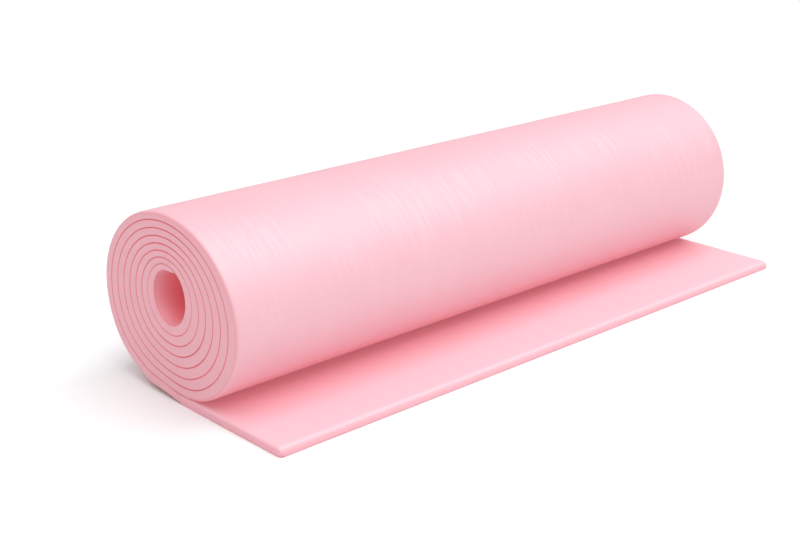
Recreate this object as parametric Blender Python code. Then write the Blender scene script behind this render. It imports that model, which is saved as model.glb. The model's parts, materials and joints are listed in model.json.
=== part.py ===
"""Rolled foam exercise mat, with the outer end of the sheet lying flat in front of the roll.

The mat is one sheet of foam. The wound length is one solid that spirals from the floor to the
bore. The flat length in front of it is a row of narrow strips, each hinged to the one before,
so that it can curl up against the roll.

Metres, +Z up. X runs along the roll, from the loosely wound end (-X) to the tighter end (+X).
The flat length points to -Y. The floor is Z = 0, and the origin is the middle of the footprint.
"""

import math

import bmesh
import bpy

MAT_WIDTH = 0.610  # across the sheet, which is the length of the roll
FOAM = 0.0072  # thickness of the sheet
GAP = 0.0003  # between neighbouring solids
LOOSE = 0.0005  # more than GAP between the turns, at the sides of the roll

# The winding, measured at the loose end. The outer face of the foam starts under the roll and
# follows an oval that loses about one pitch a turn.
HALF_WIDTH = 0.0926
HALF_HEIGHT = 0.0798
SIDE_PITCH = 0.0096
TOP_PITCH = 0.0080
SIDE_EASE = 0.00008  # the inner turns are wound a little tighter than the outer ones
TOP_EASE = 0.00011
AXIS_HEIGHT = 0.0743
AXIS_RISE = 0.00144  # a turn: the inner turns sit above the middle
AXIS_DRIFT = 0.00012  # a turn, towards the back
OUTER_SWELL = 0.0014  # more foam at the sides of the outermost turn, which nothing presses
TURNS = 7.58
STEPS = 48  # a turn
END_TAPER = 0.11  # turns over which the inner end of the sheet thins out
END_SHARE = 0.30  # of the foam's thickness, left at that end

# The other end of the roll is wound tighter: narrower and a little taller, and further forward.
TIGHT_WIDTH = 0.87
TIGHT_HEIGHT = 1.0195
TIGHT_SHIFT = -0.0018

# The roll's own weight presses its underside flat.
SAG = AXIS_HEIGHT - HALF_HEIGHT  # how far below the floor the unpressed oval would reach
SAG_CURVE = 0.216  # twice the oval's radius of curvature there
SAG_DEPTH = 0.030  # height over which the turns share the pressing

# The flat length, in front of the roll's axis.
FRONT = 0.1340
CREASE = 0.0300  # where the first strip is hinged
STRIPS = 8

LAYER_EDGE = 0.0008  # rounding of the foam's cut edges
FREE_EDGE = 0.0024  # rounding of the front edge

PINK = (0.86, 0.50, 0.55)


def clear_scene():
    for obj in list(bpy.data.objects):
        bpy.data.objects.remove(obj, do_unlink=True)


def foam_material(name):
    material = bpy.data.materials.new(name)
    material.use_nodes = True
    shader = material.node_tree.nodes["Principled BSDF"]
    shader.inputs["Base Color"].default_value = (*PINK, 1.0)
    shader.inputs["Roughness"].default_value = 0.55
    shader.inputs["Metallic"].default_value = 0.0
    material.diffuse_color = (*PINK, 1.0)
    return material


def pressed(y, z):
    """The point once the roll's weight has flattened its underside."""
    lift = max(0.0, -SAG - y * y / SAG_CURVE)
    share = max(0.0, 1.0 - (z - SAG) / SAG_DEPTH)
    return y, max(0.0, z + lift * share)


def winding(turn, spread=0.0):
    """A point (y, z) on the winding, spread outwards from it, from the roll's axis line."""
    angle = 2 * math.pi * turn
    half_width = HALF_WIDTH - SIDE_PITCH * turn + SIDE_EASE * turn**2 + spread
    half_height = HALF_HEIGHT - TOP_PITCH * turn + TOP_EASE * turn**2 + spread
    y = AXIS_DRIFT * turn + half_width * math.sin(angle)
    z = AXIS_HEIGHT + AXIS_RISE * turn - half_height * math.cos(angle)
    return pressed(y, z)


def wound_stations():
    """Pairs (outer point, inner point) of the foam, from the hinge line to its end in the bore."""
    stations = [((-CREASE + GAP / 2, 0.0), (-CREASE + GAP / 2, FOAM))]
    for step in range(round(TURNS * STEPS) + 1):
        turn = step / STEPS
        at_side = math.sin(2 * math.pi * turn) ** 2
        outer = winding(turn, OUTER_SWELL * at_side if turn < 1 else 0.0)
        inner = winding(turn + 1, GAP + LOOSE * at_side)
        from_end = min(1.0, max(0.0, (TURNS - turn) / END_TAPER))
        share = max(END_SHARE, math.sqrt(from_end * (2 - from_end)))
        inner = tuple(a + (b - a) * share for a, b in zip(outer, inner))
        stations.append((outer, inner))
    return stations


BACK = max(outer[0] for outer, inner in wound_stations())
AXIS_Y = (FRONT - BACK) / 2  # puts the origin in the middle of the footprint


def finish_mesh(name, mesh, material):
    mesh.materials.append(material)
    for polygon in mesh.polygons:
        polygon.use_smooth = True
    mesh.set_sharp_from_angle(angle=math.radians(35))
    obj = bpy.data.objects.new(name, mesh)
    bpy.context.scene.collection.objects.link(obj)
    return obj


def add_rounding(obj, width, segments):
    """Rounds the edges that carry a bevel weight."""
    bevel = obj.modifiers.new("rounding", "BEVEL")
    bevel.limit_method = "WEIGHT"
    bevel.width = width
    bevel.segments = segments
    return bevel


def build_wound_roll():
    """The wound length: one ribbon of foam, swept between its two cut ends."""
    bm = bmesh.new()
    weights = bm.edges.layers.float.new("bevel_weight_edge")
    rows = []
    for number, station in enumerate(wound_stations()):
        is_hinge_line = number == 0  # which stays square to the sheet
        row = [bm.verts.new((-MAT_WIDTH / 2, AXIS_Y + y, z)) for y, z in station]
        for y, z in station:
            if not is_hinge_line:
                y = y * TIGHT_WIDTH + TIGHT_SHIFT
                z = z * TIGHT_HEIGHT
            row.append(bm.verts.new((MAT_WIDTH / 2, AXIS_Y + y, z)))
        rows.append(row)
    corners = (0, 1, 3, 2)  # round the ribbon: loose end outer and inner, tight end inner and outer
    for before, after in zip(rows, rows[1:]):
        for a, b in zip(corners, corners[1:] + corners[:1]):
            bm.faces.new((before[a], before[b], after[b], after[a]))
        for corner in corners:
            edge = bm.edges.get((before[corner], after[corner]))
            edge[weights] = 1.0
    for row in (rows[0], rows[-1]):
        bm.faces.new([row[corner] for corner in corners])
    bmesh.ops.recalc_face_normals(bm, faces=bm.faces)
    mesh = bpy.data.meshes.new("wound_roll")
    bm.to_mesh(mesh)
    bm.free()
    obj = finish_mesh("wound_roll", mesh, foam_material("wound_foam"))
    add_rounding(obj, LAYER_EDGE, 1)
    return obj


def build_strip(number, before):
    """One strip of the flat length, with its origin on its hinge line."""
    strip = (FRONT - CREASE) / STRIPS
    is_last = number == STRIPS
    reach = strip if is_last else strip - GAP / 2
    bm = bmesh.new()
    weights = bm.edges.layers.float.new("bevel_weight_edge")
    bmesh.ops.create_cube(bm, size=1.0)
    for vert in bm.verts:
        vert.co.x *= MAT_WIDTH
        vert.co.y = -GAP / 2 if vert.co.y > 0 else -reach
        vert.co.z = 0.0 if vert.co.z > 0 else -FOAM
    for edge in bm.edges:
        a, b = (vert.co for vert in edge.verts)
        across = abs(a.y - b.y) > GAP
        at_front = is_last and max(a.y, b.y) < -reach / 2 and abs(a.z - b.z) < GAP
        edge[weights] = 1.0 if at_front else LAYER_EDGE / FREE_EDGE if across else 0.0
    mesh = bpy.data.meshes.new(f"flap_{number}")
    bm.to_mesh(mesh)
    bm.free()
    obj = finish_mesh(f"flap_{number}", mesh, foam_material(f"flap_foam_{number}"))
    add_rounding(obj, FREE_EDGE, 3)
    hinge_y = AXIS_Y - CREASE - (number - 1) * strip
    obj.location = (0.0, hinge_y, FOAM)
    if before:
        obj.parent = before
        obj.location = (0.0, -strip, 0.0)
    return obj


clear_scene()
build_wound_roll()
previous = None
for strip_number in range(1, STRIPS + 1):
    previous = build_strip(strip_number, previous)
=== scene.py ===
"""Looks of the rolled foam exercise mat: one soft sheet, wound up, its outer end lying flat.

Metres, in the CAD's frame: X runs along the roll from its loose end (-X) to its tight end (+X),
the flat end of the sheet points to -Y, and the floor is Z = 0.

The sheet is swept as rows of points, one row for each place along it. A row runs round the
sheet's cross-section: over the outer face, round a soft edge to the cut face, and back under the
inner face. The wound length is one mesh. The flat length is short pieces, one round each hinge,
and a front half strip.
"""

import json
import math

import bpy
import numpy as np
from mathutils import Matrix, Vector


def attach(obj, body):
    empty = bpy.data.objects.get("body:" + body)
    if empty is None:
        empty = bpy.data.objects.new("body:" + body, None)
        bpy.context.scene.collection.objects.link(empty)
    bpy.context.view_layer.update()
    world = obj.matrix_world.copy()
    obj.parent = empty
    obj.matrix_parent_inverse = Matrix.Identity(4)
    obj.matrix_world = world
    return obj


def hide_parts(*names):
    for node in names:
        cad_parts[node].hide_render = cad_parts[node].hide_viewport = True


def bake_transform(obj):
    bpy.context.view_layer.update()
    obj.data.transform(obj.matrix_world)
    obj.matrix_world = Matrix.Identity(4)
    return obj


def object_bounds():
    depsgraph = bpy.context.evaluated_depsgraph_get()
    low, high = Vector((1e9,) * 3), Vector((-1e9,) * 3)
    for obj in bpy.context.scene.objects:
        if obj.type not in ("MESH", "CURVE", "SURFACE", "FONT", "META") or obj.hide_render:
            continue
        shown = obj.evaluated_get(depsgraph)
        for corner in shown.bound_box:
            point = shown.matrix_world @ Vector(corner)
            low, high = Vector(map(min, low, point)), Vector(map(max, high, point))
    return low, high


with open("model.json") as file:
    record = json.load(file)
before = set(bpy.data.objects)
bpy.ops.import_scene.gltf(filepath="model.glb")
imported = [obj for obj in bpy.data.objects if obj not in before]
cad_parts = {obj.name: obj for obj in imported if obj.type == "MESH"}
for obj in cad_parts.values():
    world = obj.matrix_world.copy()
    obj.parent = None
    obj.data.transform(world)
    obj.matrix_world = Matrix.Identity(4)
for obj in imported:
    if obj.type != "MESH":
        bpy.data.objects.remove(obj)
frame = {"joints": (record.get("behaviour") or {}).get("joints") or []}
cad_low, cad_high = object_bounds()

# Places taken from the frame
HINGES = [Vector(joint["pos_m"]) for joint in frame["joints"]]
STRIP = HINGES[0].y - HINGES[1].y
FOAM = HINGES[0].z  # thickness of the flat sheet
HALF_MAT = (cad_high.x - cad_low.x) / 2
FRONT = cad_low.y
CREASE = HINGES[0].y

# The winding, as the CAD has it, measured at the loose end: an oval that loses about one pitch
# a turn
AXIS_Y = 0.0211825
AXIS_HEIGHT = 0.0743
AXIS_RISE = 0.00144  # a turn
AXIS_DRIFT = 0.00012  # a turn
HALF_WIDTH = 0.0926
HALF_HEIGHT = 0.0798
SIDE_PITCH = 0.0096
TOP_PITCH = 0.0080
SIDE_EASE = 0.00008
TOP_EASE = 0.00011
OUTER_SWELL = 0.0014  # at the sides of the outermost turn
TURNS = 7.58

# The roll's own weight presses its underside flat
SAG = AXIS_HEIGHT - HALF_HEIGHT
SAG_CURVE = 0.216
SAG_DEPTH = 0.030

# The tight end is narrower and a little taller, and further forward
TIGHT_WIDTH = 0.87
TIGHT_HEIGHT = 1.0195
TIGHT_SHIFT = -0.0018

# Mesh density
STEPS = 120  # rows a turn
COLUMNS = 36  # across the mat
CROWDING = 0.35  # share of the columns' spacing that crowds towards the edges
ARC_STEPS = 5  # round a soft edge
LEAD_ROWS = 8  # from the crease to the roll's axis line
FLAT_ROWS = 8  # along one strip of the flat length
FRONT_STEPS = 10  # round the front edge

# Edges of the sheet
SOFT_EDGE = 0.0038  # on the face that shows
LAYER_EDGE = 0.0009  # between the turns, which touch
FLOOR_EDGE = 0.0012
SUPPORT = 0.0003  # beside a rounding, so that flat faces shade flat
FRONT_EDGE = 0.0050
FRONT_CUT = 0.8  # how much the front edge has the look of a cut face
CORNER = 0.0034  # of the sheet in plan
END_TAPER = 0.11  # turns over which the inner end of the sheet thins out
END_SHARE = 0.12  # of the foam's thickness, left at that end
SWELL = 0.00012  # height of the slow swells of the skin

# The loose end of the roll curls up a little off the floor, behind its axis
CURL = 0.0045
CURL_LENGTH = 0.30  # along the roll
CURL_HEIGHT = 0.060  # the turns above this are not lifted
CURL_FROM = (-0.022, 0.030)  # behind the axis line, where the lift comes in and goes out
CURL_TO = (0.045, 0.085)


def smooth(low, high, x):
    """0 at low, 1 at high, and an even S between them."""
    t = np.clip((x - low) / (high - low), 0.0, 1.0)
    return t * t * (3 - 2 * t)


# ---------------------------------------------------------------- the sheet's shape


def winding(turn, spread=0.0):
    """A point (y, z) on the winding, spread outwards from it, from the roll's axis line."""
    angle = 2 * math.pi * turn
    half_width = HALF_WIDTH - SIDE_PITCH * turn + SIDE_EASE * turn**2 + spread
    half_height = HALF_HEIGHT - TOP_PITCH * turn + TOP_EASE * turn**2 + spread
    y = AXIS_DRIFT * turn + half_width * math.sin(angle)
    z = AXIS_HEIGHT + AXIS_RISE * turn - half_height * math.cos(angle)
    lift = max(0.0, -SAG - y * y / SAG_CURVE)
    share = max(0.0, 1.0 - (z - SAG) / SAG_DEPTH)
    return np.array([y, max(0.0, z + lift * share)])


def unevenness(along, x):
    """How far the skin stands proud of an even sheet, in metres: slow swells, as soft foam has."""
    swell = 0.5 * np.sin(along * 61 + 2.1 * np.sin(x * 17 + 0.4))
    swell += 0.3 * np.sin(x * 43 + along * 23 + 1.3)
    swell += 0.2 * np.sin(x * 97 - along * 71 + 0.7)
    return SWELL * swell


def curl_up(x, y, z):
    """How far the underside of the loose end is lifted, at points measured from the axis line."""
    near_end = 1 - smooth(0.0, CURL_LENGTH, x + HALF_MAT)
    behind = smooth(*CURL_FROM, y) * (1 - smooth(*CURL_TO, y))
    return CURL * near_end * behind * (1 - smooth(0.0, CURL_HEIGHT, z))


class Row:
    """One place along the sheet: its outer and inner points (y, z), and how its edges are rounded.

    inset draws the sides in, for the corners. wound is the share of the tight end's narrowing that
    this place has. cut is how much of its face has the look of a cut face.
    """

    def __init__(
        self, outer, inner, along, outer_edge, inner_edge, inset=0.0, wound=0.0, cut=0.0
    ):
        self.outer = np.asarray(outer, float)
        self.inner = np.asarray(inner, float)
        self.along = along
        thickness = np.linalg.norm(self.inner - self.outer)
        # the two roundings never meet, however thin the foam gets
        self.outer_edge = min(outer_edge, 0.55 * thickness)
        self.inner_edge = min(inner_edge, 0.44 * thickness)
        self.inset = inset
        self.wound = wound
        self.cut = cut


def soft_corner(radius):
    """A quarter round, from the face to the cut: (distance in from the side, depth, cut, painted
    groove shade).
    """
    # the groove between two turns, and the line where the sheet meets the floor, get painted shade
    is_groove = min(abs(radius - LAYER_EDGE), abs(radius - FLOOR_EDGE)) < 1e-6
    points = [(radius + 3 * SUPPORT, 0.0, 0.0, 0.0)]
    for step in range(ARC_STEPS + 1):
        share = step / ARC_STEPS
        a = math.pi / 2 * share
        groove_shade = 1 - smooth(0.5, 1.0, share) if is_groove else 0.0
        inwards, depth = radius * (1 - math.sin(a)), radius * (1 - math.cos(a))
        points.append((inwards, depth, smooth(0.35, 0.95, share), groove_shade))
    points.append((0.0, radius + SUPPORT, 1.0, 0.0))
    return points


def side_profile(row):
    """The left side of a row, from its outer face to its inner face, as in soft_corner."""
    thickness = np.linalg.norm(row.inner - row.outer)
    corner = soft_corner(row.inner_edge)
    inner = [(inwards, thickness - depth, cut, groove_shade) for inwards, depth, cut, groove_shade in corner]
    return soft_corner(row.outer_edge) + inner[::-1]


def row_points(row):
    """The row's closed ring of points, with their cut, painted groove shade and across values."""
    side = side_profile(row)
    thickness = max(np.linalg.norm(row.inner - row.outer), 1e-6)
    reach = HALF_MAT - row.inset
    across = -np.cos(np.linspace(0, math.pi, COLUMNS + 1)) * CROWDING
    across += np.linspace(-1, 1, COLUMNS + 1) * (1 - CROWDING)
    ring = [(-reach + inwards, depth, cut, groove_shade) for inwards, depth, cut, groove_shade in side]
    inner_reach = reach - side[-1][0]
    ring += [(x * inner_reach, thickness, 0.0, 0.0) for x in across[1:-1]]
    ring += [(reach - inwards, depth, cut, groove_shade) for inwards, depth, cut, groove_shade in reversed(side)]
    outer_reach = reach - side[0][0]
    ring += [(x * outer_reach, 0.0, 0.0, 0.0) for x in across[-2:0:-1]]
    ring = np.array(ring)
    x, depth = ring[:, 0], ring[:, 1]
    share = depth / thickness
    flat = row.outer + share[:, None] * (row.inner - row.outer)
    outward = (row.outer - row.inner) / thickness
    on_outer_face = (share < 0.5) * (1 - ring[:, 2])
    flat = flat + outward * (unevenness(row.along, x) * on_outer_face)[:, None]
    tight = row.wound * (x + HALF_MAT) / (2 * HALF_MAT)
    y = flat[:, 0] * (1 + (TIGHT_WIDTH - 1) * tight) + TIGHT_SHIFT * tight
    z = flat[:, 1] * (1 + (TIGHT_HEIGHT - 1) * tight)
    z = z + row.wound * curl_up(x, y, z)
    points = np.stack([x, AXIS_Y + y, z], axis=1)
    return points, np.maximum(ring[:, 2], row.cut), ring[:, 3], x


def sweep(name, rows, material, inward=False):
    """Skins the rows into one closed mesh. inward: the rows run into the roll, not out of it."""
    made = [row_points(row) for row in rows]
    count = len(made[0][0])
    points = np.concatenate([m[0] for m in made])
    faces = []
    for a in range(0, (len(rows) - 1) * count, count):
        b = a + count
        for k in range(count):
            n = (k + 1) % count
            faces.append((a + k, b + k, b + n, a + n))
    # the first and last rows are closed with two sides and a strip of faces between them
    side = len(side_profile(rows[0]))
    for start, turned in ((0, True), ((len(rows) - 1) * count, False)):
        near = [start + k for k in range(side)]
        far = [start + k for k in range(side + COLUMNS - 1, 2 * side + COLUMNS - 1)]
        inner = [start + k for k in range(side - 1, side + COLUMNS)]
        outer = [start + k % count for k in range(count, 2 * side + COLUMNS - 3, -1)]
        ends = [(inner[k], inner[k + 1], outer[k + 1], outer[k]) for k in range(COLUMNS)]
        for face in (near, far, *ends):
            faces.append(face if turned else face[::-1])
    if inward:
        faces = [face[::-1] for face in faces]
    mesh = bpy.data.meshes.new(name)
    mesh.from_pydata(points.tolist(), [], faces)
    for label, values in (
        ("cut", np.concatenate([m[1] for m in made])),
        ("groove_shade", np.concatenate([m[2] for m in made])),
        ("along", np.concatenate([np.full(count, row.along) for row in rows])),
        ("across", np.concatenate([m[3] for m in made])),
    ):
        layer = mesh.attributes.new(label, "FLOAT", "POINT")
        layer.data.foreach_set("value", values.astype(np.float32))
    mesh.materials.append(material)
    mesh.validate()
    mesh.shade_smooth()
    mesh.set_sharp_from_angle(angle=math.radians(50))
    obj = bpy.data.objects.new(name, mesh)
    bpy.context.scene.collection.objects.link(obj)
    return obj


def wound_rows():
    """The wound length, from the crease to the inner end of the sheet in the bore."""
    front = CREASE - AXIS_Y
    rows = []
    for k in range(LEAD_ROWS):
        share = k / LEAD_ROWS
        y = front * (1 - share)
        top = FOAM + (winding(1.0)[1] - FOAM) * smooth(0, 1, share)
        rows.append(Row((y, 0.0), (y, top), y, FLOOR_EDGE, SOFT_EDGE, wound=share))
    along = 0.0
    before = winding(0.0)
    last = round(TURNS * STEPS)
    for step in range(last + 1):
        turn = step / STEPS
        at_side = math.sin(2 * math.pi * turn) ** 2
        outer = winding(turn, OUTER_SWELL * at_side if turn < 1 else 0.0)
        inner = winding(turn + 1)
        along += np.linalg.norm(outer - before)
        before = outer
        left = np.clip((TURNS - turn) / END_TAPER, 0.0, 1.0)
        inner = outer + (inner - outer) * max(END_SHARE, math.sqrt(1 - (1 - left) ** 2))
        # the outer edge softens once it leaves the floor, and both narrow where turns touch
        outer_edge = FLOOR_EDGE + (SOFT_EDGE - FLOOR_EDGE) * smooth(0.02, 0.15, turn)
        outer_edge += (LAYER_EDGE - SOFT_EDGE) * smooth(0.93, 0.98, turn)
        inner_edge = SOFT_EDGE + (LAYER_EDGE - SOFT_EDGE) * smooth(-0.02, 0.03, turn)
        rows.append(Row(outer, inner, along, outer_edge, inner_edge, wound=1.0))
    return rows


def flat_row(y):
    """A row of the flat length at that place, with the front edge and the corners rounded."""
    from_front = max(y - FRONT, 0.0)
    top, bottom, inset = FOAM, 0.0, 0.0
    if from_front < FRONT_EDGE:
        top -= FRONT_EDGE - math.sqrt(FRONT_EDGE**2 - (FRONT_EDGE - from_front) ** 2)
    if from_front < FLOOR_EDGE:
        bottom += FLOOR_EDGE - math.sqrt(FLOOR_EDGE**2 - (FLOOR_EDGE - from_front) ** 2)
    if from_front < CORNER:
        inset = CORNER - math.sqrt(CORNER**2 - (CORNER - from_front) ** 2)
    place = y - AXIS_Y
    cut = FRONT_CUT * (1 - smooth(0.0, 0.45, from_front / FRONT_EDGE))
    return Row((place, bottom), (place, top), place, FLOOR_EDGE, SOFT_EDGE, inset, cut=cut)


def flat_rows(start, end, steps):
    """Evenly spaced rows of the flat length."""
    return [flat_row(start + (end - start) * k / steps) for k in range(steps + 1)]


def front_rows(start):
    """The last half strip, with its rows closer together towards the rounded front edge."""
    places = list(np.linspace(start, FRONT + FRONT_EDGE, 3)[:-1])
    for step in range(FRONT_STEPS + 1):
        a = math.pi / 2 * step / FRONT_STEPS
        places.append(FRONT + FRONT_EDGE * (1 - math.sin(a)))
    return [flat_row(y) for y in places]


# ---------------------------------------------------------------- the foam


class Nodes:
    """A short way to add and join shader nodes."""

    def __init__(self, material):
        material.use_nodes = True
        self.tree = material.node_tree
        self.shader = self.tree.nodes["Principled BSDF"]

    def add(self, kind, **settings):
        node = self.tree.nodes.new(kind)
        for key, value in settings.items():
            setattr(node, key, value)
        return node

    def join(self, source, target):
        self.tree.links.new(source, target)

    def value(self, source, socket):
        """Sets a socket to a number or a colour, or joins it to an output."""
        if isinstance(source, bpy.types.NodeSocket):
            self.join(source, socket)
        else:
            socket.default_value = source

    def maths(self, operation, a, b=0.0, c=0.0):
        node = self.add("ShaderNodeMath", operation=operation)
        for source, socket in zip((a, b, c), node.inputs):
            self.value(source, socket)
        return node.outputs[0]

    def attribute(self, name):
        return self.add("ShaderNodeAttribute", attribute_name=name).outputs["Fac"]

    def noise(self, where, scale, detail=2.0, roughness=0.5):
        node = self.add("ShaderNodeTexNoise")
        self.join(where, node.inputs["Vector"])
        node.inputs["Scale"].default_value = scale
        node.inputs["Detail"].default_value = detail
        node.inputs["Roughness"].default_value = roughness
        return node.outputs["Fac"]

    def vector(self, x, y, z=0.0):
        node = self.add("ShaderNodeCombineXYZ")
        for source, socket in zip((x, y, z), node.inputs):
            self.value(source, socket)
        return node.outputs[0]

    def remap(self, source, low, high, to_low=0.0, to_high=1.0):
        node = self.add("ShaderNodeMapRange", interpolation_type="SMOOTHSTEP")
        for value, socket in zip((source, low, high, to_low, to_high), node.inputs):
            self.value(value, socket)
        return node.outputs[0]

    def mix(self, share, a, b):
        node = self.add("ShaderNodeMix", data_type="RGBA")
        self.value(share, node.inputs[0])
        self.value(a, node.inputs[6])
        self.value(b, node.inputs[7])
        return node.outputs[2]


BLACK = (0.0, 0.0, 0.0, 1.0)
SKIN = (0.765, 0.378, 0.440, 1.0)
SKIN_PALE = (0.775, 0.390, 0.452, 1.0)
RIPPLE_HIGHLIGHT = (0.900, 0.640, 0.690, 1.0)  # painted highlight: the paler crests of the ripples
INNER_SKIN = (0.860, 0.440, 0.502, 1.0)  # on the inner face of the sheet, the flat length's top and the bore: a little paler than SKIN
CUT = (0.785, 0.350, 0.408, 1.0)
CUT_DEEP = (0.765, 0.320, 0.378, 1.0)
GROOVE_SHADE = (0.78, 0.110, 0.160, 1.0)  # painted shade: the red of the grooves between the turns and of the line where the sheet meets the floor, also laid round the soft edges
HOLLOW_SHADE = (0.95, 0.150, 0.180, 1.0)  # painted shade: the red of the foam where it is hidden from the light
CREASE_SHADE = (0.56, 0.030, 0.042, 1.0)  # painted shade: the dark line where the roll meets the flat sheet
GLOW = (0.17, 0.070, 0.083, 1.0)  # painted glow: emission standing in for the light that filters through the foam into a hollow

# Metres along the winding, from the roll's axis line
BORE_ALONG = 2.25  # from here on the sheet faces the bore
BLEND_ALONG = 0.02  # over which one face's look gives way to the other's
HIGHLIGHT_BAND_FROM = (0.27, 0.31)  # in front, above the middle: the band where the key light's highlight falls, the only place with ripples
HIGHLIGHT_BAND_TO = (0.40, 0.35)

RIPPLES_ALONG = 24.0  # a metre, along the sheet
RIPPLES_ACROSS = 190.0
RIPPLE_HEIGHT = 0.00022
# share of the painted highlight on the ripples' crests
RIPPLE_HIGHLIGHT_SHARE = 0.10
PATCHES = 13.0  # a metre: where the ripples are strong
MOTTLES = 18.0
GRAINS = 900.0
GRAIN_HEIGHT = 0.00002
HOLLOW_REACH = 0.07  # how near another surface has to be for a hollow
HOLLOW_OPEN = (0.58, 0.05)  # how open a hollow is where the painted red shade comes in, and where it is full
# how open the crease is where its painted dark line comes in, and where it is full
CREASE_SHADE_OPEN = (0.16, 0.03)


def ripple_marks(n, along, across, outer_face):
    """Fine ripples round the roll, only in the band in front, above the middle, where the
    highlight falls.
    """
    rippled = n.vector(
        n.maths("MULTIPLY", along, RIPPLES_ALONG), n.maths("MULTIPLY", across, RIPPLES_ACROSS)
    )
    ripple = n.remap(n.noise(rippled, 1.0, 1.0, 0.5), 0.38, 0.64)
    patch = n.remap(n.noise(n.vector(along, across), PATCHES, 1.0), 0.34, 0.56, 0.25, 1.0)
    highlight_band = n.maths("MULTIPLY", n.remap(along, *HIGHLIGHT_BAND_FROM), n.remap(along, *HIGHLIGHT_BAND_TO))
    highlight_band = n.maths("MULTIPLY", n.maths("MULTIPLY_ADD", highlight_band, 0.8, 0.2), outer_face)
    return n.maths("MULTIPLY", n.maths("MULTIPLY", ripple, patch), highlight_band)


def paint_hollow_shade_and_glow(n, colour, in_bore, on_flat, inner_face):
    """Paints red shade into the crease and the bore, where they are hidden from the light, and a
    dark line into the crease. Gives the colour, and a painted glow in them.
    """
    hollow = n.add("ShaderNodeAmbientOcclusion", samples=8)
    hollow.inputs["Distance"].default_value = HOLLOW_REACH
    open_share = hollow.outputs["AO"]
    depth = n.remap(open_share, *HOLLOW_OPEN)
    # painted shade: the hollows turn red as they close in, less on the flat length, more in the
    # bore
    reddened = n.maths("MULTIPLY_ADD", on_flat, -0.20, n.remap(in_bore, 0.0, 1.0, 0.30, 1.0))
    colour = n.mix(n.maths("MULTIPLY", depth, reddened), colour, HOLLOW_SHADE)
    # painted shade: the dark line in the crease, kept off the inner face
    crease_shade = n.maths("MULTIPLY", n.remap(open_share, *CREASE_SHADE_OPEN), 0.55)
    crease_shade = n.maths("MULTIPLY", crease_shade, n.maths("SUBTRACT", 1.0, inner_face))
    colour = n.mix(crease_shade, colour, CREASE_SHADE)
    # painted glow in the hollows, strongest on the flat length, kept off the crease's dark line
    strength = n.maths("ADD", on_flat, n.maths("MULTIPLY_ADD", in_bore, 0.18, 0.15))
    glow = n.maths("MULTIPLY", depth, strength)
    glow = n.maths("MULTIPLY", glow, n.maths("SUBTRACT", 1.0, crease_shade))
    return colour, n.mix(glow, BLACK, GLOW)


def foam_material():
    """Soft closed-cell foam: a satin skin with fine ripples, duller cut faces, and painted red
    shade and a painted glow in the hollows.
    """
    material = bpy.data.materials.new("pink_foam")
    n = Nodes(material)
    cut = n.attribute("cut")
    groove_shade = n.attribute("groove_shade")
    along = n.attribute("along")
    across = n.attribute("across")
    place = n.add("ShaderNodeTexCoord").outputs["Object"]

    in_bore = n.remap(along, BORE_ALONG - BLEND_ALONG, BORE_ALONG + BLEND_ALONG)
    on_flat = n.remap(along, 0.0, -BLEND_ALONG)
    inner_face = n.maths("MAXIMUM", in_bore, on_flat)
    outer_face = n.maths("SUBTRACT", 1.0, n.maths("MAXIMUM", cut, inner_face))
    marks = ripple_marks(n, along, across, outer_face)

    # colour: slow mottling over both faces, a fine grain on the cuts, a painted highlight on the
    # ripples' crests, and painted red shade along the grooves and round the soft edges
    mottle = n.remap(n.noise(place, MOTTLES, 3.0), 0.30, 0.70)
    grain = n.noise(place, GRAINS, 2.0, 0.6)
    skin = n.mix(mottle, SKIN, SKIN_PALE)
    skin = n.mix(inner_face, skin, INNER_SKIN)
    # painted highlight: the ripples' crests are paler
    skin = n.mix(n.maths("MULTIPLY", marks, RIPPLE_HIGHLIGHT_SHARE), skin, RIPPLE_HIGHLIGHT)
    cut_face = n.mix(n.remap(grain, 0.40, 0.62), CUT, CUT_DEEP)
    colour = n.mix(cut, skin, cut_face)
    # painted shade: the groove red in a band round the middle of each soft edge, off the flat
    # length
    edge_shade = n.maths("MULTIPLY", cut, n.maths("SUBTRACT", n.maths("SUBTRACT", 1.0, on_flat), cut))
    colour = n.mix(n.maths("MAXIMUM", n.maths("MULTIPLY", edge_shade, 1.4), 0.0), colour, GROOVE_SHADE)
    # painted shade along the grooves and the floor line, weaker in the bore
    groove_shade = n.maths("MULTIPLY", groove_shade, n.maths("MULTIPLY_ADD", in_bore, -0.4, 1.0))
    colour = n.mix(groove_shade, colour, GROOVE_SHADE)
    colour, glow = paint_hollow_shade_and_glow(n, colour, in_bore, on_flat, inner_face)
    n.join(colour, n.shader.inputs["Base Color"])
    # the painted glow goes in as emission
    n.join(glow, n.shader.inputs["Emission Color"])
    n.shader.inputs["Emission Strength"].default_value = 1.0

    height = n.maths("MULTIPLY", marks, RIPPLE_HEIGHT)
    height = n.maths("ADD", height, n.maths("MULTIPLY", grain, GRAIN_HEIGHT))
    bump = n.add("ShaderNodeBump")
    bump.inputs["Strength"].default_value = 1.0
    bump.inputs["Distance"].default_value = 1.0
    n.join(height, bump.inputs["Height"])
    n.join(bump.outputs["Normal"], n.shader.inputs["Normal"])

    # the skin is satin, its inner face a little duller, and the cuts duller again
    rough = n.maths("ADD", n.remap(mottle, 0.0, 1.0, 0.56, 0.58), n.maths("MULTIPLY", cut, 0.16))
    rough = n.maths("MULTIPLY_ADD", on_flat, 0.10, rough)
    n.join(rough, n.shader.inputs["Roughness"])
    n.shader.inputs["Specular IOR Level"].default_value = 1.0
    n.shader.inputs["IOR"].default_value = 1.80
    n.shader.inputs["Sheen Weight"].default_value = 0.10
    n.shader.inputs["Sheen Roughness"].default_value = 0.45
    n.shader.inputs["Sheen Tint"].default_value = (1.0, 0.93, 0.95, 1.0)
    return material


# ---------------------------------------------------------------- the mat


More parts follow.
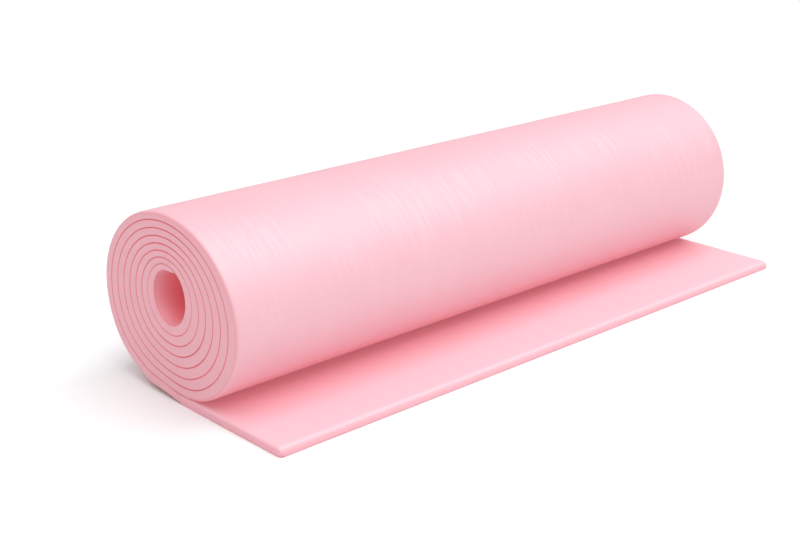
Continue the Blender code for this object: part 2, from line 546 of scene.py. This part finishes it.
def build_mat():
    """The roll, a piece round each hinge of the flat length, and its front half strip."""
    foam = foam_material()
    roll = sweep("mat_roll", wound_rows(), foam, inward=True)
    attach(roll, "wound_roll")
    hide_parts("wound_roll")
    before = CREASE
    for number, hinge in enumerate(HINGES, 1):
        middle = hinge.y - STRIP / 2
        steps = FLAT_ROWS if number > 1 else FLAT_ROWS // 2
        piece = sweep(f"mat_bend_{number}", flat_rows(before, middle, steps), foam)
        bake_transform(piece)
        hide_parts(f"flap_{number}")
        before = middle
    front = sweep("mat_front", front_rows(before), foam)
    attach(front, f"flap_{len(HINGES)}")
    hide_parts(f"flap_{len(HINGES)}")


# ---------------------------------------------------------------- the studio

FLOOR_DROP = 0.0003  # below the sheet's underside, so that the two never coincide
FLOOR_SIZE = 3.0

SKY = 0.66  # strength of the even light from all round
KEY = 245.0  # watts
KEY_SIZE = (8.1, 4.4)  # a long softbox, level with the roll
KEY_DISTANCE = 4.5
KEY_SIDE = 0.8  # towards the tight end
KEY_HEIGHT = 72.0  # degrees above the floor, in front

LENS = 62.46  # mm, on a sensor 36 mm wide
CAMERA_PLACE = (-0.8437, -0.8210, 0.4486)
CAMERA_TURN = 42.70  # degrees, from +Y towards +X
CAMERA_TILT = 18.98  # degrees, downwards


def build_floor():
    mesh = bpy.data.meshes.new("floor")
    half = FLOOR_SIZE / 2
    corners = [(-half, -half), (half, -half), (half, half), (-half, half)]
    mesh.from_pydata([(x, y, -FLOOR_DROP) for x, y in corners], [], [(0, 1, 2, 3)])
    floor = bpy.data.objects.new("floor", mesh)
    bpy.context.scene.collection.objects.link(floor)
    material = bpy.data.materials.new("pale_floor")
    material.use_nodes = True
    shader = material.node_tree.nodes["Principled BSDF"]
    shader.inputs["Base Color"].default_value = (0.87, 0.895, 0.895, 1.0)
    shader.inputs["Roughness"].default_value = 0.9
    shader.inputs["Specular IOR Level"].default_value = 0.1
    mesh.materials.append(material)


def add_key():
    """The softbox, facing the roll from the front and above."""
    data = bpy.data.lights.new("key", "AREA")
    data.shape = "RECTANGLE"
    data.size, data.size_y = KEY_SIZE
    data.energy = KEY
    light = bpy.data.objects.new("key", data)
    tilt = math.radians(90 - KEY_HEIGHT)
    light.rotation_euler = (tilt, 0.0, 0.0)
    light.location = (KEY_SIDE, -KEY_DISTANCE * math.sin(tilt), KEY_DISTANCE * math.cos(tilt))
    bpy.context.scene.collection.objects.link(light)


def build_lights():
    world = bpy.data.worlds.new("studio")
    bpy.context.scene.world = world
    world.use_nodes = True
    tree = world.node_tree
    sky = tree.nodes["Background"]
    sky.inputs["Color"].default_value = (1.0, 1.0, 1.0, 1.0)
    sky.inputs["Strength"].default_value = SKY
    # what the camera sees past the floor is as white as the floor
    seen = tree.nodes.new("ShaderNodeBackground")
    seen.inputs["Color"].default_value = (1.0, 1.0, 1.0, 1.0)
    seen.inputs["Strength"].default_value = 1.0
    path = tree.nodes.new("ShaderNodeLightPath")
    mix = tree.nodes.new("ShaderNodeMixShader")
    tree.links.new(path.outputs["Is Camera Ray"], mix.inputs[0])
    tree.links.new(sky.outputs[0], mix.inputs[1])
    tree.links.new(seen.outputs[0], mix.inputs[2])
    tree.links.new(mix.outputs[0], tree.nodes["World Output"].inputs["Surface"])
    add_key()


def build_camera():
    """Stands in front of the loose end, a little above the roll, with a long lens."""
    data = bpy.data.cameras.new("camera")
    data.lens = LENS
    data.sensor_width = 36.0
    camera = bpy.data.objects.new("camera", data)
    turn, tilt = math.radians(CAMERA_TURN), math.radians(CAMERA_TILT)
    level = math.cos(tilt)
    ahead = Vector((math.sin(turn) * level, math.cos(turn) * level, -math.sin(tilt)))
    camera.location = CAMERA_PLACE
    camera.rotation_mode = "QUATERNION"
    camera.rotation_quaternion = ahead.to_track_quat("-Z", "Y")
    bpy.context.scene.collection.objects.link(camera)
    bpy.context.scene.camera = camera
    bpy.context.scene.view_settings.view_transform = "Standard"


build_mat()
build_floor()
build_lights()
build_camera()
